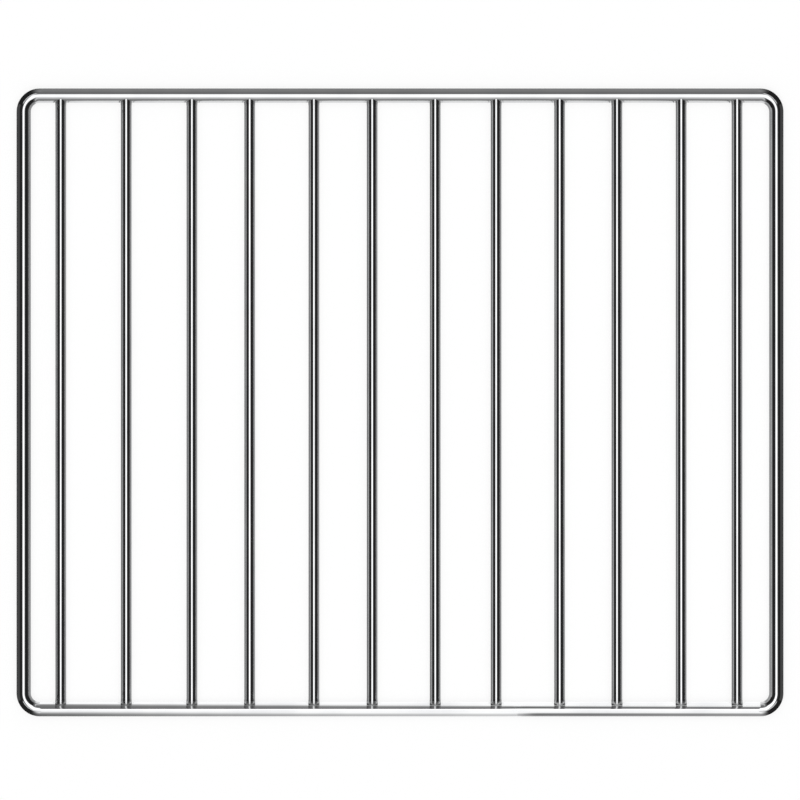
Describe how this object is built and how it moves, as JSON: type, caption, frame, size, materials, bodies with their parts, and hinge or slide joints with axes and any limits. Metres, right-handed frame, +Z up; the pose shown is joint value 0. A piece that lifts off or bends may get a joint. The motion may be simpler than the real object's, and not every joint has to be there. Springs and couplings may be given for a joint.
{
  "type": "air fryer oven wire rack",
  "caption": "Flat rectangular wire rack: a thick bent rim wire with rounded corners and thinner straight wires welded across it, to hold food on an oven's runners while hot air passes through.",
  "frame": {"origin": "on the resting surface, under the middle of the rim", "axes": "+X to the right along the width, +Y to the back along the cross wires, +Z up"},
  "size_m": [0.32, 0.262, 0.006],
  "materials": {
    "chrome_wire": "bright chrome plate over drawn steel wire"
  },
  "bodies": {
    "root": {"rim_wire": "chrome_wire", "cross_wire_01": "chrome_wire", "cross_wire_02": "chrome_wire", "cross_wire_03": "chrome_wire", "cross_wire_04": "chrome_wire", "cross_wire_05": "chrome_wire", "cross_wire_06": "chrome_wire", "cross_wire_07": "chrome_wire", "cross_wire_08": "chrome_wire", "cross_wire_09": "chrome_wire", "cross_wire_10": "chrome_wire", "cross_wire_11": "chrome_wire", "cross_wire_12": "chrome_wire"}
  },
  "joints": []
}
